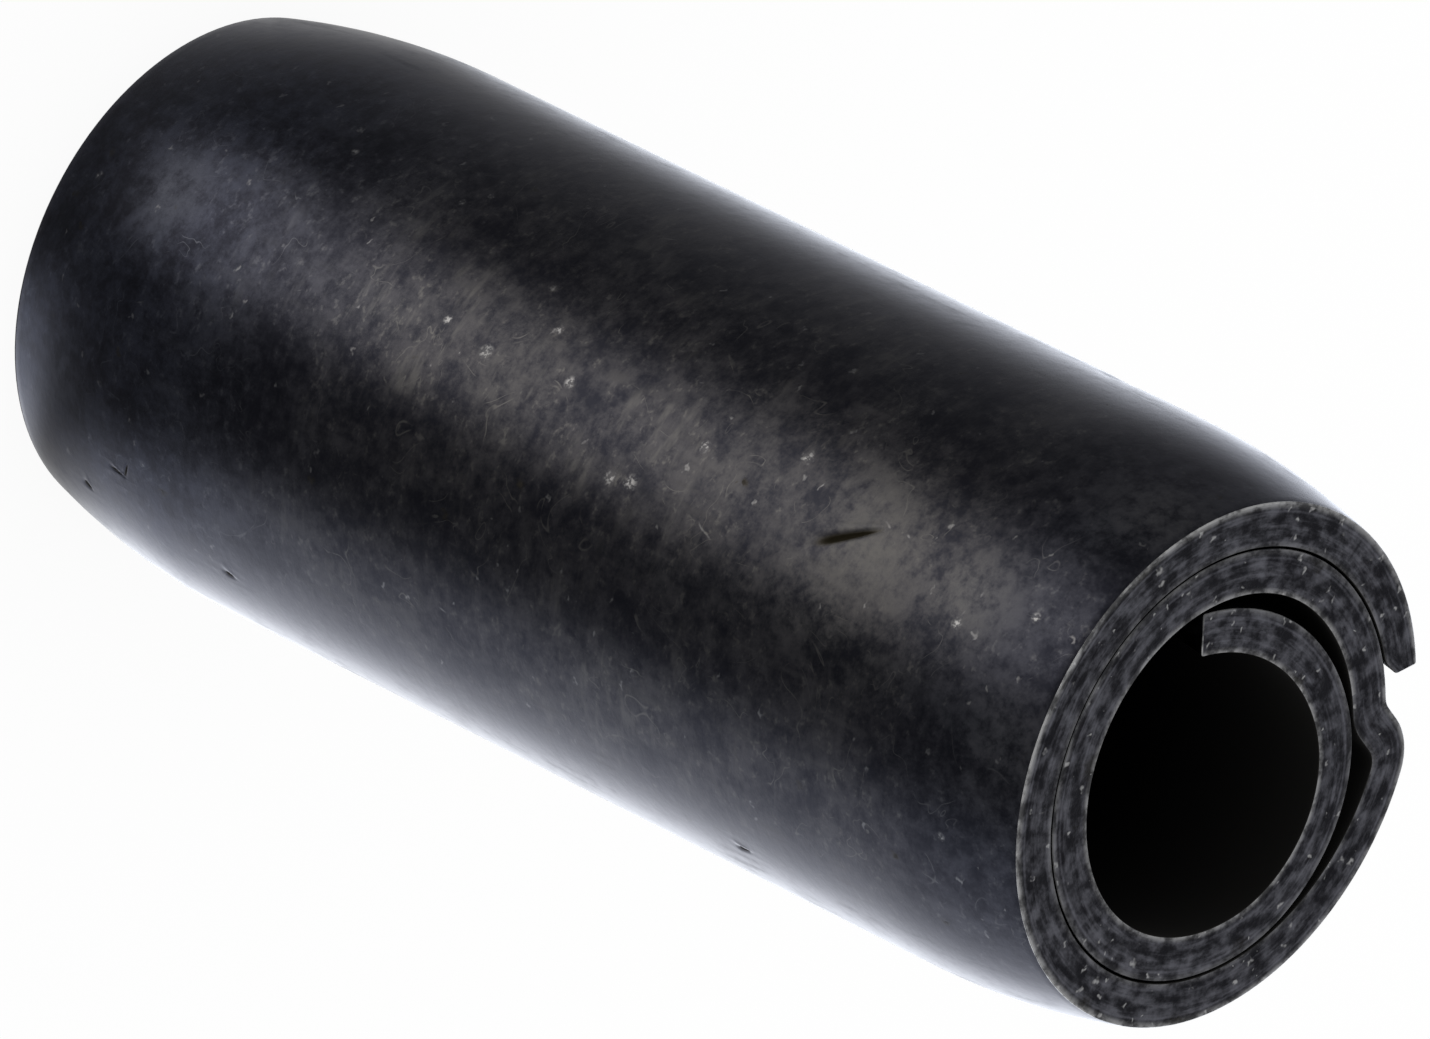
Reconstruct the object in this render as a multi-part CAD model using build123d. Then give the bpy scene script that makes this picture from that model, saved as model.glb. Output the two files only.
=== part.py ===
"""Coiled spring pin: one strip of spring steel rolled 2 1/4 turns, with both ends swaged in.

Millimetres. The pin stands on its end: +Z is its axis, and the origin is on the axis at the
bottom end. Angles are counted anticlockwise from +X, looking down on the top end.
"""
import os
from math import acos, atan2, cos, degrees, hypot, radians, sin

from build123d import *

# --- driving dimensions -------------------------------------------------------------------
body_diameter = 8.35            # outer coil before the pin is driven home, nominal 8 mm
pin_length = 20.2               # over both ends, nominal 20 mm
strip_thickness = 0.65
coil_gap = 0.03                 # air between two coils that lie on each other

top_end_diameter = 7.66         # lead-in at the top end face
top_swage_length = 2.9
bottom_end_diameter = 7.5       # lead-in at the bottom end face
bottom_swage_length = 3.2
swage_fullness = 2.0            # 1 is a plain cone, 2 is a round shoulder
swage_steps = 5                 # stretches between the sections that shape one swage
end_edge_break = 0.05           # small bevel on every edge of both end faces

lip_angle = 40.0                # where the outer edge of the strip ends
lip_thickness = 0.57            # the outer edge is thinned on its bore side
lip_root_angle = 80.0           # where the strip has its full thickness again
joggle_angle = 16.0             # where the outer coil starts to step in under the lip
joggle_bend_radius = 0.7        # middle line of the strip, for both bends of the step
joggle_ramp = 0.30              # straight stretch between the two bends
lead_in_angle = 315.0           # where the second coil starts to curl in
foot_clearance = 0.03           # extra air between the curl and the foot of the joggle
tail_end_angle = 136.0          # where the inner edge of the strip ends

axis_point = Vector(0, 0, 0)


# --- geometry round the axis --------------------------------------------------------------
def polar(radius, angle):
    return Vector(radius * cos(radians(angle)), radius * sin(radians(angle)))


def angle_of(vector):
    return degrees(atan2(vector.Y, vector.X))


def eccentric_circle(radius, angle, other_radius, other_angle):
    """Centre and radius of a circle square to the spoke at one angle, and through another point."""
    turn = radians(other_angle - angle)
    offset = (radius**2 - other_radius**2) / (2 * (radius - other_radius * cos(turn)))
    return polar(offset, angle), radius - offset


# --- stretches of the strip: each is its outside line and its bore-side line ----------------
def bend(centre, middle_radius, start, sweep):
    """A stretch of full thickness that curves round one centre."""
    half = strip_thickness / 2 if sweep > 0 else -strip_thickness / 2
    outside = CenterArc(centre, middle_radius + half, start, sweep)
    bore_side = CenterArc(centre, middle_radius - half, start, sweep)
    return outside, bore_side


def lip(outer_radius):
    """The strip's outer edge, which thins towards its end."""
    root_radius = outer_radius - strip_thickness
    tip_radius = outer_radius - lip_thickness
    centre, radius = eccentric_circle(root_radius, lip_root_angle, tip_radius, lip_angle)
    start = angle_of(polar(tip_radius, lip_angle) - centre)
    outside = CenterArc(axis_point, outer_radius, lip_angle, lip_root_angle - lip_angle)
    bore_side = CenterArc(centre, radius, start, lip_root_angle - start)
    return outside, bore_side


def joggle(coil_1, settle_centre, settle_radius):
    """The step in under the lip: a bend in, a straight ramp and a bend back."""
    rho = joggle_bend_radius
    centre_in = polar(coil_1 - rho, joggle_angle)
    towards_in = centre_in - settle_centre
    reach = settle_radius + rho
    apart = hypot(2 * rho, joggle_ramp)
    near = towards_in.length
    span = degrees(acos((near**2 + reach**2 - apart**2) / (2 * near * reach)))
    end_angle = angle_of(towards_in) + span
    centre_back = settle_centre + polar(reach, end_angle)
    ramp_angle = angle_of(centre_back - centre_in) - degrees(atan2(joggle_ramp, 2 * rho))
    bend_in = bend(centre_in, rho, joggle_angle, ramp_angle - joggle_angle)
    bend_back = bend(centre_back, rho, ramp_angle + 180, end_angle - ramp_angle)
    ramp = tuple(Line(bend_in[side] @ 1, bend_back[side] @ 0) for side in (0, 1))
    return [bend_in, ramp, bend_back], end_angle


def curl(coil_2, foot):
    """The stretch that leaves the second coil and passes under the foot of the joggle."""
    foot_angle = angle_of(foot)
    passing_radius = foot.length - strip_thickness - coil_gap - foot_clearance
    centre, radius = eccentric_circle(coil_2, lead_in_angle, passing_radius, foot_angle)
    end = polar(passing_radius, foot_angle)
    sweep = (angle_of(end - centre) - lead_in_angle) % 360
    return centre, radius, sweep, end


def tail(start_point, start_angle, coil_3):
    """The flatter last stretch, whose end springs back out to the second coil."""
    chord = polar(coil_3, tail_end_angle) - start_point
    half_sweep = angle_of(chord) - (start_angle + 90) % 360
    radius = chord.length / (2 * sin(radians(half_sweep)))
    return bend(start_point - polar(radius, start_angle), radius, start_angle, 2 * half_sweep)


def strip_stretches(outer_radius):
    """The whole strip, from its outer edge to its inner one, for an outer coil of this radius."""
    pitch = strip_thickness + coil_gap
    coil_1 = outer_radius - strip_thickness / 2
    coil_2 = coil_1 - pitch
    coil_3 = coil_2 - pitch
    under_lip = coil_2 + strip_thickness - lip_thickness
    settle_centre, settle_radius = eccentric_circle(coil_2, lip_root_angle, under_lip, lip_angle)
    step, foot_angle = joggle(coil_1, settle_centre, settle_radius)
    foot = settle_centre + polar(settle_radius, foot_angle)
    curl_centre, curl_radius, curl_sweep, curl_end = curl(coil_2, foot)

    outer_turn = bend(axis_point, coil_1, lip_root_angle - 360, 360 + joggle_angle - lip_root_angle)
    settling = bend(settle_centre, settle_radius, foot_angle, lip_root_angle - foot_angle)
    second_turn = bend(axis_point, coil_2, lip_root_angle, lead_in_angle - lip_root_angle)
    curling = bend(curl_centre, curl_radius, lead_in_angle, curl_sweep)
    last = tail(curl_end, (lead_in_angle + curl_sweep) % 360, coil_3)
    return [lip(outer_radius), outer_turn, *step, settling, second_turn, curling, last]


# --- sections and solid -------------------------------------------------------------------
def strip_section(outer_radius, height):
    """The rolled strip's cross-section, flat at one height."""
    stretches = strip_stretches(outer_radius)
    edges = [line for stretch in stretches for line in stretch]
    outer_edge = Line(stretches[0][0] @ 0, stretches[0][1] @ 0)
    inner_edge = Line(stretches[-1][0] @ 1, stretches[-1][1] @ 1)
    return Pos(0, 0, height) * make_face(edges + [outer_edge, inner_edge])


def swage(end_diameter, length, end_height, inwards):
    """One tapered end. inwards is +1 or -1, the way along Z from the end face to the body."""
    body_radius = body_diameter / 2
    drop = body_radius - end_diameter / 2
    sections = []
    for step in range(swage_steps + 1):
        depth = length * step / swage_steps
        radius = body_radius - drop * ((length - depth) / length) ** swage_fullness
        sections.append(strip_section(radius, end_height + inwards * depth))
    return loft(sections)


def coiled_pin():
    straight = pin_length - top_swage_length - bottom_swage_length
    body = extrude(strip_section(body_diameter / 2, bottom_swage_length), straight)
    bottom = swage(bottom_end_diameter, bottom_swage_length, 0, 1)
    top = swage(top_end_diameter, top_swage_length, pin_length, -1)
    pin = bottom + body + top
    edges_up_z = pin.edges().group_by(Axis.Z)
    return chamfer(edges_up_z[0] + edges_up_z[-1], end_edge_break)


os.makedirs("parts", exist_ok=True)
export_step(coiled_pin(), "parts/coiled_pin.step")
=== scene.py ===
"""Coiled spring pin: a blackened steel strip, rolled two and a quarter turns, standing on its end.

Metres, in the frame of the construction model: +Z is the pin's axis, and the origin is on the
axis at the bottom end face. Angles are counted anticlockwise from +X, looking down on the top end.
"""
from math import acos, atan2, ceil, cos, exp, hypot, pi, radians, sin

import bmesh
import bpy
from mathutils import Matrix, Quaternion, Vector


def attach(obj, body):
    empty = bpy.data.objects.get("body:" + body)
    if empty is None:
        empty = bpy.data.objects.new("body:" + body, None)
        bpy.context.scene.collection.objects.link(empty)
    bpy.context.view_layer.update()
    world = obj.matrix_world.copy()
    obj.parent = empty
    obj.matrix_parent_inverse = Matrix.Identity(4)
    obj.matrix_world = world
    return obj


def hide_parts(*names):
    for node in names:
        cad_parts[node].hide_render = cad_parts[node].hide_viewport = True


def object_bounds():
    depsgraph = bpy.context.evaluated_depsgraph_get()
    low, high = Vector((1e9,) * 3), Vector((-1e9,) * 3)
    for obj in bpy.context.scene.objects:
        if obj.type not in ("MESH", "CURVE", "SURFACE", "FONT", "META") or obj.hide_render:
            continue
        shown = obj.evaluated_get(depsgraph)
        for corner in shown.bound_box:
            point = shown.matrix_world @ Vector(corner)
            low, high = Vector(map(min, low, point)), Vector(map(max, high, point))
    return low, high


bl_info = {
    "name": "Coiled Spring Pin",
    "version": (1, 0, 0),
    "blender": (4, 5, 0),
    "location": "View3D > Sidebar > Spring Pin",
    "description": "A coiled spring pin of blackened strip steel, and the studio that shows it",
    "category": "Add Mesh",
}

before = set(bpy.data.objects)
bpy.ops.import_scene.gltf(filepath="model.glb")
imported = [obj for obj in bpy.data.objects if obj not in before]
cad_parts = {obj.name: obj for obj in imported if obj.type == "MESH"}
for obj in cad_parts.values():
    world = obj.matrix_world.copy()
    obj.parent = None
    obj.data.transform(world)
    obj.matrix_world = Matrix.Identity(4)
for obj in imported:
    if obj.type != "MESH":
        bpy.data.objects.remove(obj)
cad_low, cad_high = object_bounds()
cad_size = cad_high - cad_low

MM = 0.001
UP = Vector((0, 0, 1))
AXIS_POINT = Vector((0, 0, 0))
NODE = "coiled_pin"
SLOT = "black_oxide_steel"
ALONG = "along"                 # a vertex's distance along the strip, from its outer edge
ACROSS = "across"               # -1 on the strip's bore side, 1 on its outside
RIM = "rim"                     # 1 on the rolled edges of both end faces, where the black wears off
GOUGED = "gouged"               # 0 to 1, how deep a vertex lies in a gouge or scratch
SCUFFED = "scuffed"             # 0 to 1, how much the coat round a vertex is scuffed pale

# Gouges and scratches in the outer coil: place on it (degrees round, mm up), then mm long, wide
# and deep, heading (degrees from level, rising anticlockwise round the pin) and how dark it is.
GOUGES = (
    (172.0, 15.94, 1.10, 0.130, 0.032, 122.0, 1.0),
    (228.4, 2.47, 0.30, 0.050, 0.012, 78.0, 0.8),
    (226.9, 2.68, 0.32, 0.050, 0.012, 158.0, 0.8),
    (249.6, 14.56, 0.26, 0.080, 0.030, 100.0, 1.0),
    (238.6, 1.55, 0.20, 0.120, 0.020, 60.0, 0.9),
    (242.6, 4.45, 0.22, 0.090, 0.020, 75.0, 0.9),
    (92.5, 15.90, 0.46, 0.650, 0.040, 90.0, 0.0),
    (62.0, 8.40, 0.80, 0.070, 0.016, 65.0, 0.7),
    (318.0, 12.60, 0.70, 0.070, 0.018, 130.0, 0.7),
)
# Hair-fine bright scratches: place on the outer coil, then mm long and heading.
SCRATCHES = (
    (191.0, 2.59, 0.37, 118.0), (194.6, 2.56, 0.27, 127.0), (167.3, 16.64, 0.77, 83.0),
    (173.6, 18.40, 0.58, 161.0), (183.3, 13.68, 0.44, 58.0), (157.5, 12.30, 0.22, 112.0),
    (215.0, 5.60, 0.30, 150.0), (222.0, 9.10, 0.24, 70.0), (345.0, 7.20, 0.50, 100.0),
    (40.0, 15.10, 0.40, 60.0), (130.0, 9.60, 0.35, 120.0), (290.0, 3.90, 0.45, 45.0),
)
# Pale scuffed zones: place on the outer coil, then radius in mm and strength.
SCUFFS = (
    (173.0, 16.3, 1.30, 0.55),
    (171.5, 18.3, 0.70, 0.80),
    (170.5, 9.2, 1.20, 0.22),
    (168.0, 13.8, 1.20, 0.20),
    (169.9, 2.2, 0.60, 0.60),
    (136.0, 19.7, 0.80, 0.85),
    (199.0, 19.8, 0.90, 0.45),
    (214.0, 1.3, 0.50, 0.35),
    (20.0, 11.0, 1.60, 0.25),
    (300.0, 6.5, 1.30, 0.30),
)
# Bright flecks of bare steel: place on the outer coil, then radius in mm.
FLECKS = (
    (182.1, 11.72, 0.14), (181.2, 12.08, 0.16), (168.8, 12.93, 0.12), (161.9, 14.55, 0.15),
    (169.1, 10.26, 0.12), (171.0, 8.69, 0.15), (168.7, 7.79, 0.10), (160.8, 9.55, 0.09),
    (177.7, 18.32, 0.11), (169.8, 19.37, 0.10), (172.9, 0.74, 0.09), (145.8, 4.38, 0.08),
    (145.4, 6.52, 0.08), (141.0, 6.79, 0.07), (223.2, 3.06, 0.08), (218.7, 18.95, 0.09),
)


# Light cards on the floor: name, side of the pin that each one lights, half of its spread and how
# much of that fades out (degrees), then, in mm from a point inside the pin, where it starts, is in
# full and starts to fade, how much brighter it is than the white floor, and its colour.
CARDS = (
    ("front_card", 171.4, 36.0, 27.0, 1.8, 6.0, 150.0, 7.6, (1.0, 0.96, 0.90)),
    ("side_card", 234.2, 63.5, 32.0, 1.8, 4.2, 150.0, 3.5, (0.90, 0.94, 1.0)),
    ("back_card", 92.0, 60.0, 55.0, 1.8, 3.0, 150.0, 3.4, (0.84, 0.90, 1.0)),
    ("foot_card", 206.0, 62.0, 46.0, 1.5, 1.75, 1.95, 3.2, (0.90, 0.94, 1.0)),
)
FAR_END = 1.4                   # where a card has faded out, as a share of where it starts to


# --- settings -----------------------------------------------------------------------------
def length(name, description, default):
    return bpy.props.FloatProperty(
        name=name, description=description, default=default, min=0, unit="LENGTH", precision=5
    )


def angle(name, description, degrees):
    return bpy.props.FloatProperty(
        name=name, description=description, default=radians(degrees), subtype="ANGLE"
    )


def colour(name, description, default):
    return bpy.props.FloatVectorProperty(
        name=name, description=description, default=default, subtype="COLOR", min=0, max=1
    )


def share(name, description, default):
    return bpy.props.FloatProperty(
        name=name, description=description, default=default, min=0, max=1, subtype="FACTOR"
    )


def number(name, description, default):
    return bpy.props.FloatProperty(name=name, description=description, default=default, min=0)


class StripSizes(bpy.types.PropertyGroup):
    """The rolled strip, at the sizes that the construction model has."""

    diameter: length("Diameter", "Over the outer coil", cad_size.x)
    pin_length: length("Length", "Over both end faces", cad_size.z)
    thickness: length("Thickness", "Of the strip", 0.65 * MM)
    coil_gap: length("Coil gap", "Air between two coils", 0.03 * MM)
    top_diameter: length("Top end", "Diameter of the top end face", 7.66 * MM)
    top_swage: length("Top swage", "Length of the top lead-in", 2.9 * MM)
    bottom_diameter: length("Bottom end", "Diameter of the bottom end face", 7.5 * MM)
    bottom_swage: length("Bottom swage", "Length of the bottom lead-in", 3.2 * MM)
    swage_fullness: number("Fullness", "1 is a plain cone, 2 is a round shoulder", 2.0)
    lip_angle: angle("Lip", "Where the strip's outer edge ends", 40)
    lip_thickness: length("Lip thickness", "Of the outer edge, thinned on its bore side", 0.57 * MM)
    lip_root_angle: angle("Lip root", "Where the strip has its full thickness", 80)
    joggle_angle: angle("Joggle", "Where the outer coil steps in under the lip", 16)
    joggle_bend: length("Joggle bend", "Middle radius of the step's two bends", 0.7 * MM)
    joggle_ramp: length("Joggle ramp", "Straight stretch between the two bends", 0.30 * MM)
    lead_in_angle: angle("Lead-in", "Where the second coil starts to curl in", 315)
    foot_clearance: length("Foot clearance", "Extra air between curl and joggle", 0.03 * MM)
    tail_angle: angle("Tail", "Where the strip's inner edge ends", 136)
    rim_round: length("Rim round", "Rolled edge round both end faces", 0.10 * MM)
    lip_lift: length("Lip lift", "How far the lip's underside is rounded off at its tip", 0.18 * MM)
    lip_rounding: length("Lip rounding", "How far back from the tip the rounding runs", 0.40 * MM)
    corner_round: length("Strip corners", "Rounded corners of the strip's two edges", 0.04 * MM)
    facet: length("Facet", "Spacing of the mesh along the strip", 0.18 * MM)


class BlackFinish(bpy.types.PropertyGroup):
    """The black oxide and the steel under it."""

    dark: colour("Dark oxide", "Where the coat is whole", (0.0037, 0.0039, 0.0055))
    pale: colour("Pale oxide", "Where the coat is thinner", (0.0136, 0.0134, 0.0150))
    blue: colour("Blue oxide", "Thinner coat at the swages", (0.0100, 0.0112, 0.0166))
    dusty: colour("Dusty oxide", "Where the coat is scuffed pale", (0.0262, 0.0256, 0.0250))
    hazy: colour("Hazy oxide", "Where it is scuffed pale at the swages", (0.0190, 0.0205, 0.0265))
    cut: colour("Cut edge", "Whole coat on the end faces", (0.0085, 0.0086, 0.0105))
    cut_pale: colour("Pale cut edge", "Thin coat on the end faces", (0.0850, 0.0860, 0.1000))
    # Bore: painted light on the bore wall near its top mouth; deeper down the wall keeps the dark
    # oxide, so the bore carries painted shade
    bore: colour("Bore", "Dull coat inside the bore", (0.0240, 0.0235, 0.0225))
    olive: colour("Olive dirt", "In gouges and pits", (0.0070, 0.0060, 0.0035))
    steel: colour("Bare steel", "Under rubbed spots and on worn edges", (0.49, 0.49, 0.49))
    smooth: share("Smooth", "Roughness where the coat is whole", 0.30)
    matt: share("Matt", "Roughness where the coat is thin", 0.46)
    dull: share("Dull", "Roughness inside the bore", 0.85)


class StudioLight(bpy.types.PropertyGroup):
    """Floor, light and camera."""

    floor: colour("Floor", "Colour of the floor", (0.95, 0.95, 0.95))
    white_share: share("White", "How much of the floor's plain white the camera sees", 0.92)
    world: number("World", "Strength of the white world", 1.0)
    aim: bpy.props.FloatVectorProperty(
        name="Aim", description="The point that the camera looks at", size=3,
        default=(0.088 * MM, -0.023 * MM, 10.207 * MM), subtype="TRANSLATION",
    )
    azimuth: angle("Azimuth", "Of the camera, from +X", 180)
    elevation: angle("Elevation", "Of the camera, above the floor", 39.55)
    roll: angle("Roll", "Of the camera, clockwise round its line of sight", 116.25)
    distance: length("Distance", "From the aim to the camera", 440 * MM)
    lens: number("Lens", "Focal length in mm, on a sensor 36 mm wide", 798.9)


# --- geometry round the axis --------------------------------------------------------------
def polar(radius, turn):
    return Vector((radius * cos(turn), radius * sin(turn), 0))


def angle_of(vector):
    return atan2(vector.y, vector.x)


def eccentric_circle(radius, turn, other_radius, other_turn):
    """Centre and radius of a circle square to the spoke at one angle, and through another point."""
    between = other_turn - turn
    offset = (radius**2 - other_radius**2) / (2 * (radius - other_radius * cos(between)))
    return polar(offset, turn), radius - offset


# --- rolling the strip --------------------------------------------------------------------
def roll(bm, edge, centre, sweep, facet):
    """Carries the strip's leading edge round a centre, a facet at a time. Returns the new one."""
    along = bm.verts.layers.float[ALONG]
    middle = (edge.verts[0].co + edge.verts[1].co) / 2
    arc = abs(sweep) * (middle - centre).length
    steps = ceil(arc / facet)
    for _ in range(steps):
        made = bmesh.ops.spin(
            bm, geom=[*edge.verts, edge], cent=centre, axis=UP, angle=sweep / steps, steps=1
        )
        edge = next(part for part in made["geom_last"] if isinstance(part, bmesh.types.BMEdge))
        for vert in edge.verts:
            vert[along] += arc / steps
    return edge


def run_straight(bm, edge, direction, distance, facet):
    """Carries the strip's leading edge straight on. Returns the new one."""
    along = bm.verts.layers.float[ALONG]
    steps = ceil(distance / facet)
    for _ in range(steps):
        made = bmesh.ops.extrude_edge_only(bm, edges=[edge])["geom"]
        edge = next(part for part in made if isinstance(part, bmesh.types.BMEdge)
                    and all(vert in made for vert in part.verts))
        bmesh.ops.translate(bm, verts=edge.verts, vec=direction * (distance / steps))
        for vert in edge.verts:
            vert[along] += distance / steps
    return edge


def thin_lip(bm, sizes):
    """Thins the strip's outer edge on its bore side, and rounds it off at the tip."""
    across = bm.verts.layers.float[ACROSS]
    thinned = sizes.thickness - sizes.lip_thickness
    for vert in bm.verts:
        turn = angle_of(vert.co)
        done = (sizes.lip_root_angle - turn) / (sizes.lip_root_angle - sizes.lip_angle)
        if vert[across] < 0 and done > 0:
            from_tip = (turn - sizes.lip_angle) * sizes.diameter / 2
            rounding = sizes.lip_lift * max(0, 1 - from_tip / sizes.lip_rounding) ** 1.5
            vert.co += polar(thinned * done**2 + rounding, turn)


def roll_section(bm, sizes):
    """The strip's cross-section, flat on the floor. Returns its outer and its inner edge."""
    thickness = sizes.thickness
    facet = sizes.facet
    radius = sizes.diameter / 2
    pitch = thickness + sizes.coil_gap
    coil_1 = radius - thickness / 2
    coil_2 = coil_1 - pitch
    coil_3 = coil_2 - pitch
    root = sizes.lip_root_angle

    # the outer edge, from the lip's root back to its tip
    bore_side = bm.verts.new(polar(radius - thickness, root))
    outside = bm.verts.new(polar(radius, root))
    bore_side[bm.verts.layers.float[ACROSS]] = -1
    outside[bm.verts.layers.float[ACROSS]] = 1
    lip_root = bm.edges.new((bore_side, outside))
    lip_tip = roll(bm, lip_root, AXIS_POINT, sizes.lip_angle - root, facet / 4)
    thin_lip(bm, sizes)

    # the outer coil, on to the joggle
    edge = roll(bm, lip_root, AXIS_POINT, 2 * pi + sizes.joggle_angle - root, facet)

    # the joggle: a bend in, a straight ramp and a bend back, down to the settling coil
    under_lip = coil_2 + thickness - sizes.lip_thickness
    settle_centre, settle_radius = eccentric_circle(coil_2, root, under_lip, sizes.lip_angle)
    bend = sizes.joggle_bend
    centre_in = polar(coil_1 - bend, sizes.joggle_angle)
    towards_in = centre_in - settle_centre
    near = towards_in.length
    reach = settle_radius + bend
    apart = hypot(2 * bend, sizes.joggle_ramp)
    span = acos((near**2 + reach**2 - apart**2) / (2 * near * reach))
    foot_angle = angle_of(towards_in) + span
    centre_back = settle_centre + polar(reach, foot_angle)
    ramp_angle = angle_of(centre_back - centre_in) - atan2(sizes.joggle_ramp, 2 * bend)
    edge = roll(bm, edge, centre_in, ramp_angle - sizes.joggle_angle, facet / 2)
    edge = run_straight(bm, edge, polar(1, ramp_angle + pi / 2), sizes.joggle_ramp, facet / 2)
    edge = roll(bm, edge, centre_back, foot_angle - ramp_angle, facet / 2)

    # under the lip and round the second coil
    edge = roll(bm, edge, settle_centre, root - foot_angle, facet)
    edge = roll(bm, edge, AXIS_POINT, sizes.lead_in_angle - root, facet)

    # the curl that passes under the joggle's foot
    foot = settle_centre + polar(settle_radius, foot_angle)
    foot_turn = angle_of(foot)
    passing = foot.length - thickness - sizes.coil_gap - sizes.foot_clearance
    centre, curl_radius = eccentric_circle(coil_2, sizes.lead_in_angle, passing, foot_turn)
    curl_end = polar(passing, foot_turn)
    sweep = (angle_of(curl_end - centre) - sizes.lead_in_angle) % (2 * pi)
    edge = roll(bm, edge, centre, sweep, facet)

    # the flatter tail, whose end springs back out to the second coil
    heading = (sizes.lead_in_angle + sweep) % (2 * pi)
    chord = polar(coil_3, sizes.tail_angle) - curl_end
    half_sweep = angle_of(chord) - (heading + pi / 2) % (2 * pi)
    tail_radius = chord.length / (2 * sin(half_sweep))
    tail_end = roll(bm, edge, curl_end - polar(tail_radius, heading), 2 * half_sweep, facet)
    return lip_tip, tail_end


def round_corners(bm, sizes, lip_tip, tail_end):
    """Rounds the corners of the strip's two edges."""
    bmesh.ops.bevel(
        bm, geom=[*lip_tip.verts, *tail_end.verts], offset=sizes.corner_round,
        offset_type="OFFSET", affect="VERTICES", segments=4, profile=0.5, material=-1,
        clamp_overlap=True,
    )


def raise_strip(bm, sizes):
    """Pulls the cross-section up the axis, in finer steps where the ends will be swaged."""
    straight = sizes.pin_length - sizes.bottom_swage - sizes.top_swage
    top = [*bm.verts, *bm.edges, *bm.faces]
    for rise, spacing in ((sizes.bottom_swage, 0.17 * MM), (straight, 0.30 * MM),
                          (sizes.top_swage, 0.15 * MM)):
        steps = ceil(rise / spacing)
        made = bmesh.ops.spin(
            bm, geom=top, cent=AXIS_POINT, axis=UP, dvec=(0, 0, rise / steps), angle=0,
            steps=steps,
        )
        top = made["geom_last"]


def round_rims(bm, sizes):
    """Rolls the edges of both end faces, and marks the faces that make them."""
    rim = bm.faces.layers.float.new(RIM)
    ends = (0, sizes.pin_length)
    rims = [
        edge for edge in bm.edges
        if any(all(abs(vert.co.z - end) < 1e-7 for vert in edge.verts) for end in ends)
        and any(abs(face.normal.z) < 0.5 for face in edge.link_faces)
    ]
    made = bmesh.ops.bevel(
        bm, geom=rims, offset=sizes.rim_round, offset_type="OFFSET", affect="EDGES",
        segments=3, profile=0.5, material=-1, clamp_overlap=True,
    )
    for face in made["faces"]:
        face[rim] = 1


def swage_depth(sizes, height):
    """How far the coils lie in from the body's, at one height."""
    drop = 0
    for end_height, swage, end_diameter in (
        (height, sizes.bottom_swage, sizes.bottom_diameter),
        (sizes.pin_length - height, sizes.top_swage, sizes.top_diameter),
    ):
        left = max(0, 1 - end_height / swage)
        drop += (sizes.diameter - end_diameter) / 2 * left**sizes.swage_fullness
    return drop


def swage_ends(bm, sizes):
    """Draws the coils in together at both ends, so that the strip keeps its thickness."""
    for vert in bm.verts:
        turn = angle_of(vert.co)
        vert.co -= polar(swage_depth(sizes, vert.co.z), turn)


def on_surface(sizes, vert):
    """A vertex's place on the unrolled outer coil: distance round it, and height."""
    return Vector((angle_of(vert.co) % (2 * pi) * sizes.diameter / 2, vert.co.z))


def spot(sizes, degrees_round, mm_up):
    return Vector((radians(degrees_round) * sizes.diameter / 2, mm_up * MM))


def refine(bm, sizes, centre, reach, cuts):
    """Divides the outer coil's faces round a spot more finely. Returns the outside vertices there."""
    across = bm.verts.layers.float[ACROSS]

    def near():
        return [vert for vert in bm.verts if vert[across] > 0.99
                and vert.co.xy.length > 0.99 * sizes.diameter / 2 - swage_depth(sizes, vert.co.z)
                and (on_surface(sizes, vert) - centre).length < reach]

    verts = set(near())
    edges = [edge for edge in bm.edges if all(vert in verts for vert in edge.verts)]
    bmesh.ops.subdivide_edges(bm, edges=edges, cuts=cuts, use_grid_fill=True)
    return near()


def gouge(bm, sizes):
    """Cuts the gouges and scratches into the outer coil."""
    gouged = bm.verts.layers.float.new(GOUGED)
    for degrees_round, mm_up, mm_long, mm_wide, mm_deep, heading, darkness in GOUGES:
        centre = spot(sizes, degrees_round, mm_up)
        half_length = mm_long * MM / 2
        half_width = mm_wide * MM / 2
        direction = Vector((cos(radians(heading)), sin(radians(heading))))
        for vert in refine(bm, sizes, centre, half_length + 0.35 * MM, 6):
            place = on_surface(sizes, vert) - centre
            lengthwise = place.dot(direction) / half_length
            taper = max(0.3, 1 - 0.55 * lengthwise)
            sideways = place.dot(direction.orthogonal()) / (half_width * taper)
            groove = exp(-(abs(lengthwise)**3)) * exp(-(sideways**2))
            burr = exp(-(abs(lengthwise)**3)) * exp(-((sideways - 2.2) ** 2)) / 4
            vert.co -= polar((groove - burr) * mm_deep * MM, angle_of(vert.co))
            vert[gouged] = max(vert[gouged], groove * darkness)


def scuff(bm, sizes):
    """Marks the zones of the outer coil where the coat is scuffed pale."""
    scuffed = bm.verts.layers.float.new(SCUFFED)
    for vert in bm.verts:
        place = on_surface(sizes, vert)
        for degrees_round, mm_up, mm_reach, strength in SCUFFS:
            away = (place - spot(sizes, degrees_round, mm_up)).length / (mm_reach * MM)
            vert[scuffed] = max(vert[scuffed], strength * exp(-(away**2)))


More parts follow.
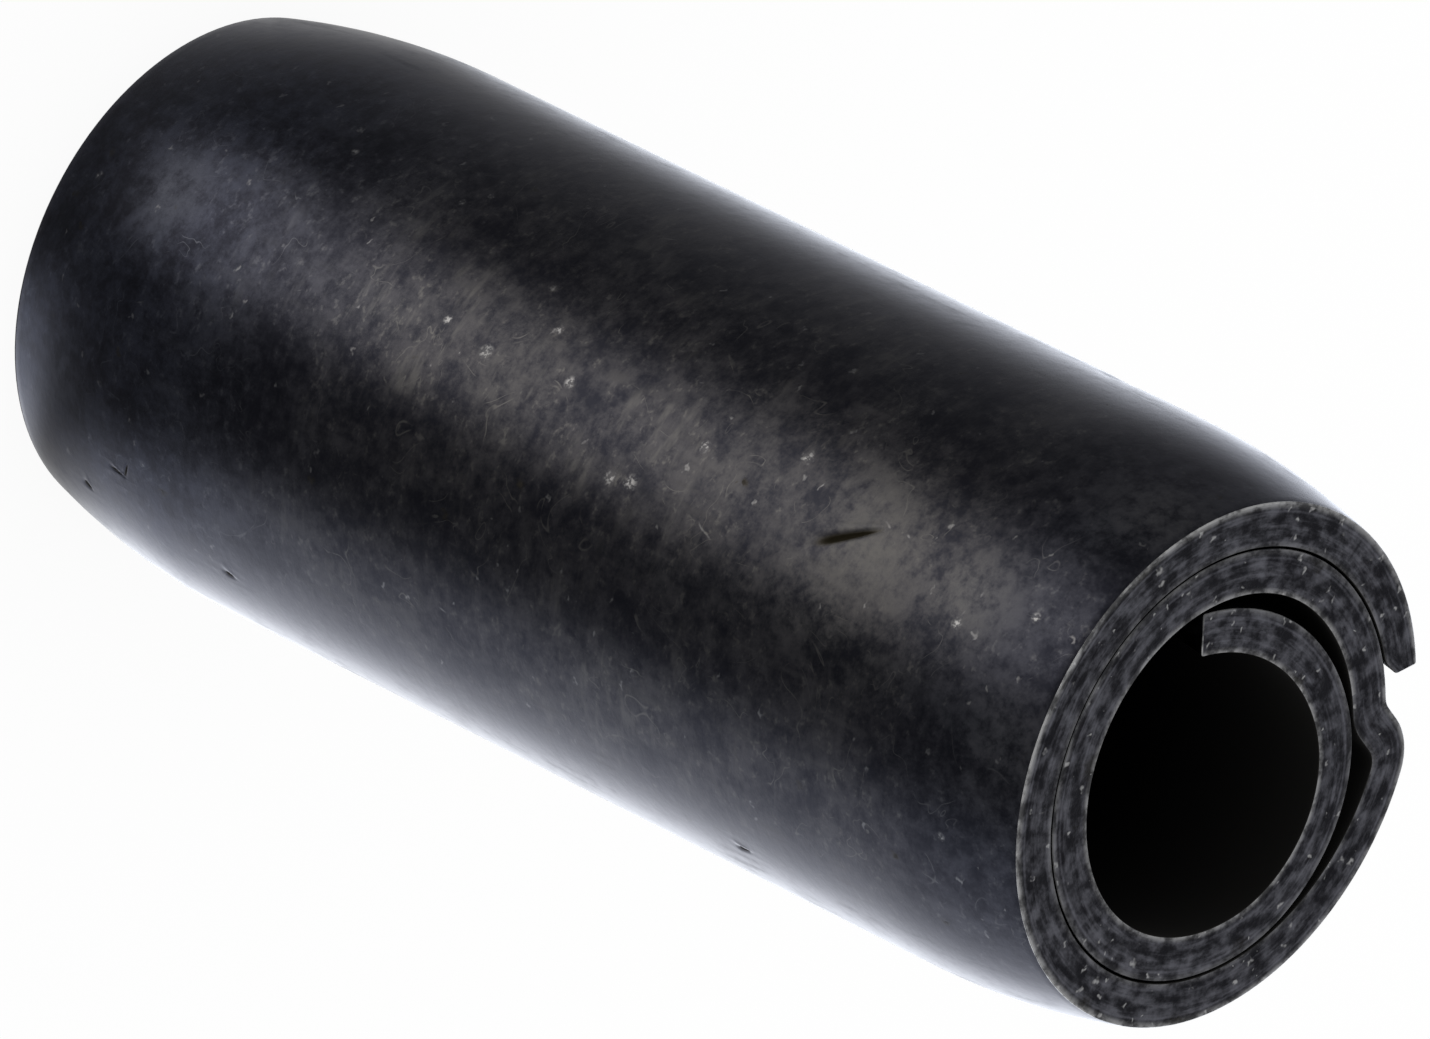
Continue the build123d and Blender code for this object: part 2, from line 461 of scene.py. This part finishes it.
def rolled_strip(sizes):
    """The whole pin as one mesh object."""
    bm = bmesh.new()
    bm.verts.layers.float.new(ALONG)
    bm.verts.layers.float.new(ACROSS)
    lip_tip, tail_end = roll_section(bm, sizes)
    round_corners(bm, sizes, lip_tip, tail_end)
    raise_strip(bm, sizes)
    bmesh.ops.recalc_face_normals(bm, faces=bm.faces)
    bm.normal_update()
    round_rims(bm, sizes)
    gouge(bm, sizes)
    scuff(bm, sizes)
    swage_ends(bm, sizes)
    bmesh.ops.recalc_face_normals(bm, faces=bm.faces)
    mesh = bpy.data.meshes.new("coiled_strip")
    bm.to_mesh(mesh)
    bm.free()
    mesh.shade_smooth()
    strip = bpy.data.objects.new("coiled_strip", mesh)
    bpy.context.scene.collection.objects.link(strip)
    flat_ends = strip.modifiers.new("Flat end faces", "WEIGHTED_NORMAL")
    flat_ends.weight = 90
    return strip


# --- finish -------------------------------------------------------------------------------
class Graph:
    """Short ways to add nodes to a node tree and join them."""

    def __init__(self, tree):
        self.tree = tree

    def node(self, kind, inputs=(), **settings):
        node = self.tree.nodes.new("ShaderNode" + kind)
        for name, setting in settings.items():
            setattr(node, name, setting)
        for name, source in dict(inputs).items():
            self.feed(node.inputs[name], source)
        return node

    def feed(self, socket, source):
        """Joins a socket to an output, or sets it to a plain value."""
        if isinstance(source, bpy.types.NodeSocket):
            self.tree.links.new(source, socket)
        else:
            socket.default_value = source

    def math(self, operation, *sources):
        node = self.node("Math", operation=operation)
        for socket, source in zip(node.inputs, sources):
            self.feed(socket, source)
        return node.outputs[0]

    def scaled(self, vector, factors):
        node = self.node("VectorMath", operation="MULTIPLY")
        self.feed(node.inputs[0], vector)
        self.feed(node.inputs[1], factors)
        return node.outputs[0]

    def shifted(self, vector, offsets):
        node = self.node("VectorMath", operation="ADD")
        self.feed(node.inputs[0], vector)
        self.feed(node.inputs[1], offsets)
        return node.outputs[0]

    def noise(self, vector, scale, detail=3.0, roughness=0.5, distortion=0.0):
        node = self.node("TexNoise", {
            "Vector": vector, "Scale": scale, "Detail": detail, "Roughness": roughness,
            "Distortion": distortion,
        })
        return node.outputs["Fac"]

    def spread(self, value, low, high, to_low=0.0, to_high=1.0):
        """Stretches the range between two values, smoothly at both ends."""
        node = self.node("MapRange", {
            "Value": value, "From Min": low, "From Max": high, "To Min": to_low,
            "To Max": to_high,
        }, interpolation_type="SMOOTHSTEP")
        return node.outputs["Result"]

    def blend(self, share, first, second):
        node = self.node("Mix", data_type="RGBA")
        self.feed(node.inputs["Factor"], share)
        self.feed(node.inputs[6], first)
        self.feed(node.inputs[7], second)
        return node.outputs[2]

    def attribute(self, name):
        return self.node("Attribute", attribute_name=name).outputs["Fac"]

    def group(self, group, **inputs):
        node = self.node("Group")
        node.node_tree = group
        for name, source in inputs.items():
            self.feed(node.inputs[name], source)
        return node.outputs[0]


def new_group(name, inputs, output):
    """An empty node group of one output: the group, its inputs by name and its output socket."""
    group = bpy.data.node_groups.new(name, "ShaderNodeTree")
    for socket_name, default in inputs.items():
        kind = "NodeSocketVector" if isinstance(default, tuple) else "NodeSocketFloat"
        socket = group.interface.new_socket(socket_name, in_out="INPUT", socket_type=kind)
        socket.default_value = default
    group.interface.new_socket(output, in_out="OUTPUT", socket_type="NodeSocketFloat")
    sources = group.nodes.new("NodeGroupInput").outputs
    return Graph(group), sources, group.nodes.new("NodeGroupOutput").inputs[0]


def blotches_group():
    """Small soft blotches of thinner oxide, a little denser where slow clouds of it lie."""
    graph, given, result = new_group("Oxide Blotches", {"Vector": (0.0, 0.0, 0.0)}, "Blotches")
    clouds = graph.noise(given["Vector"], 0.9, 2.0, 0.6)
    blotches = graph.noise(given["Vector"], 4.6, 5.0, 0.72)
    both = graph.math("ADD", graph.math("MULTIPLY", clouds, 0.35),
                      graph.math("MULTIPLY", blotches, 0.65))
    graph.feed(result, graph.spread(both, 0.36, 0.68))
    return graph.tree


def drawn_group():
    """Marks drawn out along one direction. Stretch shortens the grain along each axis."""
    graph, given, result = new_group(
        "Drawn Marks",
        {"Vector": (0.0, 0.0, 0.0), "Stretch": (1.0, 1.0, 1.0), "Fineness": 5.0}, "Marks",
    )
    drawn = graph.scaled(given["Vector"], given["Stretch"])
    marks = graph.noise(drawn, given["Fineness"], 3.0, 0.62)
    broken = graph.noise(given["Vector"], 0.9, 2.0)
    graph.feed(result, graph.math(
        "MULTIPLY", graph.spread(marks, 0.50, 0.74), graph.spread(broken, 0.38, 0.62)
    ))
    return graph.tree


def handling_group():
    """Curved hair-fine lines that handling leaves here and there."""
    graph, given, result = new_group("Handling Lines", {"Vector": (0.0, 0.0, 0.0)}, "Lines")
    bends = graph.noise(given["Vector"], 0.8, 2.0, 0.5, 1.4)
    off_line = graph.math("ABSOLUTE", graph.math("SUBTRACT", bends, 0.5))
    broken = graph.noise(given["Vector"], 1.7, 3.0, 0.6)
    graph.feed(result, graph.math(
        "MULTIPLY", graph.spread(off_line, 0.007, 0.001), graph.spread(broken, 0.50, 0.62)
    ))
    return graph.tree


def specks_group():
    """Small specks, scattered. Share is how many of the cells hold one."""
    graph, given, result = new_group(
        "Scattered Specks",
        {"Vector": (0.0, 0.0, 0.0), "Scale": 3.0, "Share": 0.2, "Reach": 0.22}, "Specks",
    )
    cells = graph.node("TexVoronoi", {"Vector": given["Vector"], "Scale": given["Scale"]})
    pick = graph.node("SeparateColor", {"Color": cells.outputs["Color"]})
    held = graph.math("LESS_THAN", pick.outputs[0], given["Share"])
    reach = graph.math("MULTIPLY", given["Reach"], graph.math("ADD", pick.outputs[1], 0.25))
    near = graph.spread(cells.outputs["Distance"], reach, graph.math("MULTIPLY", reach, 0.2))
    graph.feed(result, graph.math("MULTIPLY", near, held))
    return graph.tree


def rubbed_group():
    """One rubbed spot: 1 near its centre, 0 beyond its radius."""
    graph, given, result = new_group(
        "Rubbed Spot",
        {"Vector": (0.0, 0.0, 0.0), "Centre": (0.0, 0.0, 0.0), "Radius": 0.1}, "Spot",
    )
    away = graph.node("VectorMath", operation="DISTANCE")
    graph.feed(away.inputs[0], given["Vector"])
    graph.feed(away.inputs[1], given["Centre"])
    graph.feed(result, graph.spread(
        graph.math("DIVIDE", away.outputs["Value"], given["Radius"]), 1.0, 0.0
    ))
    return graph.tree


def scratch_group():
    """One hair-fine scratch: 1 on its line, 0 beside it and beyond its ends."""
    graph, given, result = new_group(
        "Fine Scratch",
        {"Vector": (0.0, 0.0, 0.0), "Centre": (0.0, 0.0, 0.0), "Heading": (0.0, 0.0, 1.0),
         "Half Length": 0.2, "Half Width": 0.014}, "Scratch",
    )
    away = graph.node("VectorMath", operation="SUBTRACT")
    graph.feed(away.inputs[0], given["Vector"])
    graph.feed(away.inputs[1], given["Centre"])
    lengthwise = graph.node("VectorMath", operation="DOT_PRODUCT")
    graph.feed(lengthwise.inputs[0], away.outputs[0])
    graph.feed(lengthwise.inputs[1], given["Heading"])
    beside = graph.node("VectorMath", operation="CROSS_PRODUCT")
    graph.feed(beside.inputs[0], away.outputs[0])
    graph.feed(beside.inputs[1], given["Heading"])
    aside = graph.node("VectorMath", operation="LENGTH")
    graph.feed(aside.inputs[0], beside.outputs[0])
    ends = graph.math("DIVIDE", graph.math("ABSOLUTE", lengthwise.outputs["Value"]),
                      given["Half Length"])
    sides = graph.math("DIVIDE", aside.outputs["Value"], given["Half Width"])
    graph.feed(result, graph.math(
        "MULTIPLY", graph.spread(ends, 1.0, 0.4), graph.spread(sides, 1.5, 0.3)
    ))
    return graph.tree


def strip_lines_group():
    """Lines along the strip on its cut and rolled end faces."""
    graph, given, result = new_group("Strip Lines", {"Vector": (0.0, 0.0, 0.0)}, "Lines")
    lines = graph.noise(graph.scaled(given["Vector"], (0.8, 10.0, 0.0)), 1.0, 3.0, 0.6)
    graph.feed(result, graph.spread(lines, 0.42, 0.72))
    return graph.tree


def outside_point(sizes, degrees_round, mm_up):
    """A point on the swaged outer coil, in mm."""
    radius = sizes.diameter / 2 - swage_depth(sizes, mm_up * MM)
    return polar(radius / MM, radians(degrees_round)) + mm_up * UP


def bright_marks(graph, mm_place, sizes):
    """The flecks and fine scratches of bare steel that stand out on the outer coil."""
    spot_group = rubbed_group()
    line_group = scratch_group()
    sway = graph.node("TexNoise", {"Vector": mm_place, "Scale": 2.2, "Detail": 1.0})
    swayed = graph.node("VectorMath", operation="MULTIPLY_ADD")
    graph.feed(swayed.inputs[0], sway.outputs["Color"])
    graph.feed(swayed.inputs[1], (0.3, 0.3, 0.3))
    graph.feed(swayed.inputs[2], graph.shifted(mm_place, (-0.15, -0.15, -0.15)))
    swayed = swayed.outputs[0]
    bright = 0.0
    for degrees_round, mm_up, mm_reach in FLECKS:
        centre = outside_point(sizes, degrees_round, mm_up)
        fleck = graph.group(spot_group, Vector=mm_place, Centre=centre, Radius=mm_reach)
        bright = graph.math("MAXIMUM", bright, fleck)
    grains = graph.spread(graph.noise(mm_place, 15.0, 2.0, 0.6), 0.45, 0.62, 0.12, 1.0)
    bright = graph.math("MULTIPLY", bright, grains)
    for degrees_round, mm_up, mm_long, heading in SCRATCHES:
        centre = outside_point(sizes, degrees_round, mm_up)
        level = UP.cross(centre).normalized()
        slope = cos(radians(heading)) * level + sin(radians(heading)) * UP
        scratch = graph.group(line_group, Vector=swayed, Centre=centre, Heading=slope,
                              **{"Half Length": mm_long / 2})
        bright = graph.math("MAXIMUM", bright, graph.math("MULTIPLY", scratch, 0.3))
    return bright


def black_oxide(finish, sizes):
    """Black oxide over spring steel: blotched, tinted blue at the swages, rubbed and scuffed, with
    painted light on the bore wall near the top and painted shade deeper down the bore.
    """
    material = bpy.data.materials.new(SLOT)
    material.use_nodes = True
    graph = Graph(material.node_tree)
    shader = material.node_tree.nodes["Principled BSDF"]
    dark, pale, blue, dusty, hazy, cut, cut_pale, bore, olive, steel = (
        (*getattr(finish, name), 1) for name in
        ("dark", "pale", "blue", "dusty", "hazy", "cut", "cut_pale", "bore", "olive", "steel")
    )

    # places in mm: in space, and on the flat strip before it was rolled
    mm_place = graph.scaled(graph.node("TexCoord").outputs["Object"], (1 / MM, 1 / MM, 1 / MM))
    height = graph.node("SeparateXYZ", {"Vector": mm_place}).outputs["Z"]
    across = graph.attribute(ACROSS)
    on_strip = graph.node("CombineXYZ", {
        "X": graph.math("MULTIPLY", graph.attribute(ALONG), 1 / MM),
        "Y": graph.math("MULTIPLY", across, sizes.thickness / MM / 2),
        "Z": height,
    }).outputs["Vector"]

    # masks
    facing = graph.node("SeparateXYZ", {"Vector": graph.node("NewGeometry").outputs["Normal"]})
    end_face = graph.spread(graph.math("ABSOLUTE", facing.outputs["Z"]), 0.90, 0.97)
    in_bore = graph.math("MULTIPLY", graph.spread(across, -0.90, -0.99),
                         graph.math("SUBTRACT", 1.0, end_face))
    half = sizes.pin_length / MM / 2
    from_middle = graph.math("ABSOLUTE", graph.math("SUBTRACT", height, half))
    at_swage = graph.math("MAXIMUM", graph.spread(height, 8.0, 2.0, 0.0, 0.9),
                          graph.spread(height, 2 * half - 3.2, 2 * half - 0.8, 0.0, 0.45))
    mid_body = graph.spread(from_middle, half - 2.0, half - 6.0)

    # blotches, scuffs and drawn marks, each from 0 to 1
    blotches = graph.group(blotches_group(), Vector=on_strip)
    drawn = drawn_group()
    round_marks = graph.group(drawn, Vector=on_strip, Stretch=(0.30, 1.0, 1.0), Fineness=4.5)
    hair_lines = graph.group(drawn, Vector=on_strip, Stretch=(1.0, 1.0, 0.08), Fineness=5.0)
    round_marks = graph.math("MULTIPLY", round_marks, mid_body)
    scuffs = graph.math("MULTIPLY", graph.attribute(SCUFFED),
                        graph.math("ADD", 0.15, graph.math("MULTIPLY", blotches, 1.4)))
    handled = graph.group(handling_group(), Vector=on_strip)
    salt = graph.spread(graph.noise(graph.scaled(on_strip, (0.8, 1.0, 1.0)), 8.0, 2.0, 0.7),
                        0.54, 0.74)
    salt = graph.math("MULTIPLY", salt, graph.spread(blotches, 0.15, 0.7, 0.2, 1.0))
    marks = graph.math("MAXIMUM", graph.math("MULTIPLY", round_marks, 0.50),
                       graph.math("MULTIPLY", hair_lines, 0.20))
    marks = graph.math("MAXIMUM", marks, graph.math("MULTIPLY", handled, 0.65))
    marks = graph.math("MAXIMUM", marks, graph.math("MULTIPLY", salt, 0.62))
    thin = graph.math("ADD", scuffs, graph.math("MULTIPLY", blotches, 0.5))

    # colour of the coils
    specks = specks_group()
    uneven = graph.node("TexNoise", {"Vector": on_strip, "Scale": 9.0, "Detail": 1.0})
    ragged = graph.shifted(on_strip, graph.scaled(uneven.outputs["Color"], (0.2, 0.2, 0.2)))
    coat = graph.blend(at_swage, graph.blend(blotches, dark, pale),
                       graph.blend(blotches, dark, blue))
    coat = graph.blend(graph.math("MAXIMUM", scuffs, marks), coat,
                       graph.blend(at_swage, dusty, hazy))
    fine = graph.group(specks, Vector=graph.scaled(ragged, (0.8, 1.0, 1.2)), Scale=4.5,
                       Share=0.16, Reach=0.20)
    worn = graph.math("MAXIMUM", graph.math("MULTIPLY", fine, 0.05),
                      graph.math("MULTIPLY", bright_marks(graph, mm_place, sizes), 0.13))
    coat = graph.blend(worn, coat, steel)
    pits = graph.group(specks, Vector=graph.scaled(ragged, (1.0, 1.0, 0.8)), Scale=2.4,
                       Share=graph.spread(height, 5.0, 1.0, 0.10, 0.42), Reach=0.17)
    dirt = graph.math("MAXIMUM", graph.math("MULTIPLY", pits, 0.6), graph.spread(
        graph.attribute(GOUGED), 0.15, 0.85
    ))
    coat = graph.blend(dirt, coat, olive)

    # colour of the end faces, of their worn edges and of the bore
    strip_lines = graph.group(strip_lines_group(), Vector=on_strip)
    grit = graph.noise(graph.scaled(on_strip, (0.75, 1.1, 1.0)), 4.0, 4.0, 0.62)
    ridge = graph.spread(graph.math("ABSOLUTE", graph.math("SUBTRACT", across, 0.60)), 0.12, 0.0)
    lined = graph.math("MAXIMUM", strip_lines, ridge)
    grey = graph.spread(graph.math("ADD", graph.math("MULTIPLY", lined, 0.16), grit), 0.38, 0.86)
    end_coat = graph.blend(grey, cut, cut_pale)
    chips = graph.group(specks, Vector=graph.scaled(ragged, (0.7, 1.3, 1.0)), Scale=1.6,
                        Share=0.42, Reach=0.36)
    end_coat = graph.blend(graph.math("MULTIPLY", chips, 0.7), end_coat, olive)
    glints = graph.group(specks, Vector=ragged, Scale=4.4, Share=0.50, Reach=0.28)
    end_coat = graph.blend(graph.math("MULTIPLY", glints, 0.45), end_coat, steel)
    coat = graph.blend(end_face, coat, end_coat)

    # the black wears off the strip's corners, and least where one coil covers the next
    coil_end = (2 * pi + sizes.joggle_angle - sizes.lip_root_angle) * sizes.diameter / 2
    outer_coil = graph.math("LESS_THAN", graph.attribute(ALONG), coil_end)
    outside = graph.math("GREATER_THAN", across, 0.0)
    covered = graph.math("ABSOLUTE", graph.math("SUBTRACT", outer_coil, outside))
    open_side = graph.spread(covered, 0.0, 1.0, 1.0, 0.3)
    wear = graph.spread(grit, 0.36, 0.60)
    near_corner = graph.spread(graph.math("ABSOLUTE", across), 0.66, 0.98)
    corners = graph.math("MULTIPLY", graph.math("MULTIPLY", near_corner, end_face), 0.30)
    corners = graph.math("MAXIMUM", corners, graph.math("MULTIPLY", graph.attribute(RIM), 0.42))
    worn_off = graph.math("MULTIPLY", graph.math("ADD", wear, 0.25), open_side)
    coat = graph.blend(graph.math("MULTIPLY", corners, worn_off), coat, steel)
    # the bore wall is painted lighter within 4.5 mm of the top end, painted light at the mouth, and
    # fades to the dark oxide further in, painted shade down the bore
    coat = graph.blend(in_bore, coat, graph.blend(
        graph.spread(height, 2 * half - 4.5, 2 * half - 0.5), dark, bore
    ))
    graph.feed(shader.inputs["Base Color"], coat)

    # gloss
    matt = graph.math("ADD", graph.math("MULTIPLY", thin, 0.8),
                      graph.math("MULTIPLY", hair_lines, 0.3))
    gloss = graph.spread(matt, 0.0, 1.0, finish.smooth, finish.matt)
    dull = graph.math("MULTIPLY", graph.math("MAXIMUM", in_bore, dirt), finish.dull)
    graph.feed(shader.inputs["Roughness"], graph.math("MAXIMUM", gloss, dull))
    shader.inputs["Metallic"].default_value = 1
    shader.inputs["Specular Tint"].default_value = (0.67, 0.67, 0.69, 1)

    # relief: grain, coarser on the cut end faces, and slow waves of the rolled strip
    waves = graph.noise(graph.scaled(on_strip, (1.0, 1.0, 0.4)), 0.5, 1.0, 0.4)
    relief = graph.math("MULTIPLY", grit, graph.spread(end_face, 0.0, 1.0, 1.2, 7.0))
    relief = graph.math("ADD", relief, graph.math("MULTIPLY", waves, 6.0))
    bump = graph.node("Bump", {"Height": relief, "Distance": 0.003 * MM, "Strength": 1.0})
    graph.feed(shader.inputs["Normal"], bump.outputs["Normal"])
    return material


# --- studio -------------------------------------------------------------------------------
def seen_directly(tree):
    """1 for the camera and for what metal and glass show of the floor, 0 for other light."""
    path = tree.nodes.new("ShaderNodeLightPath")
    seen = path.outputs["Is Camera Ray"]
    for other in ("Is Glossy Ray", "Is Transmission Ray"):
        either = tree.nodes.new("ShaderNodeMath")
        either.operation = "MAXIMUM"
        tree.links.new(seen, either.inputs[0])
        tree.links.new(path.outputs[other], either.inputs[1])
        seen = either.outputs[0]
    return seen


def pale_floor(studio):
    """A plain white sheet that the pin stands on. It keeps a share of the pin's soft shadow."""
    bm = bmesh.new()
    bmesh.ops.create_grid(bm, x_segments=1, y_segments=1, size=3)
    mesh = bpy.data.meshes.new("floor")
    bm.to_mesh(mesh)
    bm.free()
    floor = bpy.data.objects.new("floor", mesh)
    bpy.context.scene.collection.objects.link(floor)
    material = bpy.data.materials.new("pale_floor")
    material.use_nodes = True
    tree = material.node_tree
    tree.nodes.remove(tree.nodes["Principled BSDF"])
    lit = tree.nodes.new("ShaderNodeBsdfDiffuse")
    lit.inputs["Color"].default_value = (*studio.floor, 1)
    white = tree.nodes.new("ShaderNodeEmission")
    how_white = tree.nodes.new("ShaderNodeMath")
    how_white.operation = "MULTIPLY"
    how_white.inputs[1].default_value = studio.white_share
    mixed = tree.nodes.new("ShaderNodeMixShader")
    tree.links.new(seen_directly(tree), how_white.inputs[0])
    tree.links.new(how_white.outputs[0], mixed.inputs["Fac"])
    tree.links.new(lit.outputs["BSDF"], mixed.inputs[1])
    tree.links.new(white.outputs["Emission"], mixed.inputs[2])
    tree.links.new(mixed.outputs["Shader"], tree.nodes["Material Output"].inputs["Surface"])
    mesh.materials.append(material)


def white_world(studio):
    world = bpy.data.worlds.new("white_world")
    world.use_nodes = True
    background = world.node_tree.nodes["Background"]
    background.inputs["Color"].default_value = (1, 1, 1, 1)
    background.inputs["Strength"].default_value = studio.world
    world.cycles.sampling_method = "NONE"
    bpy.context.scene.world = world


def card_glow(name, half_spread, fade, start, full, reach, brightness, tint):
    """The glow of one light card, which fades out at both its ends and along both its sides."""
    material = bpy.data.materials.new(name)
    material.use_nodes = True
    material.cycles.emission_sampling = "NONE"
    graph = Graph(material.node_tree)
    graph.tree.nodes.remove(graph.tree.nodes["Principled BSDF"])
    uv = graph.node("SeparateXYZ", {"Vector": graph.node("TexCoord").outputs["UV"]})
    edge = graph.spread(uv.outputs["X"], 0.0, fade / half_spread)
    near = graph.spread(uv.outputs["Y"], start * MM, full * MM)
    far = graph.spread(uv.outputs["Y"], FAR_END * reach * MM, reach * MM)
    glow = graph.math("MULTIPLY", graph.math("MULTIPLY", edge, near), brightness)
    glow = graph.math("MULTIPLY", glow, far)
    shine = graph.node("Emission", {"Color": (*tint, 1), "Strength": glow})
    both = graph.node("AddShader")
    graph.feed(both.inputs[0], graph.node("BsdfTransparent").outputs["BSDF"])
    graph.feed(both.inputs[1], shine.outputs["Emission"])
    graph.feed(graph.tree.nodes["Material Output"].inputs["Surface"], both.outputs["Shader"])
    return material


def light_card(studio, height, name, side, half_spread, fade, start, full, reach, brightness, tint):
    """A soft wedge of light that lies on the floor and shines up at one side of the pin."""
    focus = polar(cad_size.x / 4, radians(side))
    middle = 2 * radians(side) - studio.azimuth
    first = middle - radians(half_spread)
    bm = bmesh.new()
    uv = bm.loops.layers.uv.new("card")
    near, far = (bm.verts.new(focus + polar(away * MM, first)) for away in (start, FAR_END * reach))
    bmesh.ops.spin(
        bm, geom=[near, far, bm.edges.new((near, far))], cent=focus, axis=UP,
        angle=2 * radians(half_spread), steps=48,
    )
    for face in bm.faces:
        for loop in face.loops:
            away = loop.vert.co - focus
            turned = abs((angle_of(away) - middle + pi) % (2 * pi) - pi)
            loop[uv].uv = (1 - turned / radians(half_spread), away.length)
    bmesh.ops.translate(bm, verts=bm.verts, vec=height * UP)
    mesh = bpy.data.meshes.new(name)
    bm.to_mesh(mesh)
    bm.free()
    card = bpy.data.objects.new(name, mesh)
    bpy.context.scene.collection.objects.link(card)
    mesh.materials.append(card_glow(
        name, half_spread, fade, start, full, reach, brightness, tint
    ))
    card.visible_camera = False
    card.visible_diffuse = False
    card.visible_shadow = False


def camera(studio):
    """The camera, turned about its line of sight so that the pin lies across the picture."""
    towards_camera = Vector((
        cos(studio.azimuth) * cos(studio.elevation),
        sin(studio.azimuth) * cos(studio.elevation),
        sin(studio.elevation),
    ))
    data = bpy.data.cameras.new("camera")
    data.sensor_width = 36
    data.lens = studio.lens
    data.clip_start = 10 * MM
    data.clip_end = 10
    view = bpy.data.objects.new("camera", data)
    bpy.context.scene.collection.objects.link(view)
    view.rotation_mode = "QUATERNION"
    level = (-towards_camera).to_track_quat("-Z", "Y")
    view.rotation_quaternion = level @ Quaternion((0, 0, 1), studio.roll)
    view.location = Vector(studio.aim) + studio.distance * towards_camera
    bpy.context.scene.camera = view


# --- operators and panel ------------------------------------------------------------------
class PIN_OT_coiled_strip(bpy.types.Operator):
    """Roll the strip, swage its ends and give it its black finish"""

    bl_idname = "spring_pin.coiled_strip"
    bl_label = "Coiled Strip"

    def execute(self, context):
        strip = rolled_strip(context.scene.spring_pin_strip)
        finish = black_oxide(context.scene.spring_pin_finish, context.scene.spring_pin_strip)
        strip.data.materials.append(finish)
        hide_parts(NODE)
        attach(strip, "root")
        return {"FINISHED"}


class PIN_OT_studio(bpy.types.Operator):
    """Lay the floor, light the pin and set the camera"""

    bl_idname = "spring_pin.studio"
    bl_label = "Studio"

    def execute(self, context):
        studio = context.scene.spring_pin_studio
        context.scene.view_settings.view_transform = "Standard"
        pale_floor(studio)
        white_world(studio)
        for layer, card in enumerate(CARDS, start=1):
            light_card(studio, layer * 0.01 * MM, *card)
        camera(studio)
        return {"FINISHED"}


class PIN_PT_panel(bpy.types.Panel):
    """Sizes, finish and studio of the spring pin"""

    bl_label = "Spring Pin"
    bl_idname = "PIN_PT_panel"
    bl_space_type = "VIEW_3D"
    bl_region_type = "UI"
    bl_category = "Spring Pin"

    def draw(self, context):
        for settings, operator in (
            ("spring_pin_strip", PIN_OT_coiled_strip),
            ("spring_pin_finish", None),
            ("spring_pin_studio", PIN_OT_studio),
        ):
            group = getattr(context.scene, settings)
            box = self.layout.box()
            for name in group.__annotations__:
                box.prop(group, name)
            if operator:
                box.operator(operator.bl_idname)


CLASSES = (StripSizes, BlackFinish, StudioLight, PIN_OT_coiled_strip, PIN_OT_studio, PIN_PT_panel)


def register():
    for cls in CLASSES:
        bpy.utils.register_class(cls)
    bpy.types.Scene.spring_pin_strip = bpy.props.PointerProperty(type=StripSizes)
    bpy.types.Scene.spring_pin_finish = bpy.props.PointerProperty(type=BlackFinish)
    bpy.types.Scene.spring_pin_studio = bpy.props.PointerProperty(type=StudioLight)


def unregister():
    del bpy.types.Scene.spring_pin_studio
    del bpy.types.Scene.spring_pin_finish
    del bpy.types.Scene.spring_pin_strip
    for cls in reversed(CLASSES):
        bpy.utils.unregister_class(cls)


def main():
    register()
    bpy.ops.spring_pin.coiled_strip()
    bpy.ops.spring_pin.studio()


if __name__ == "__main__":
    main()
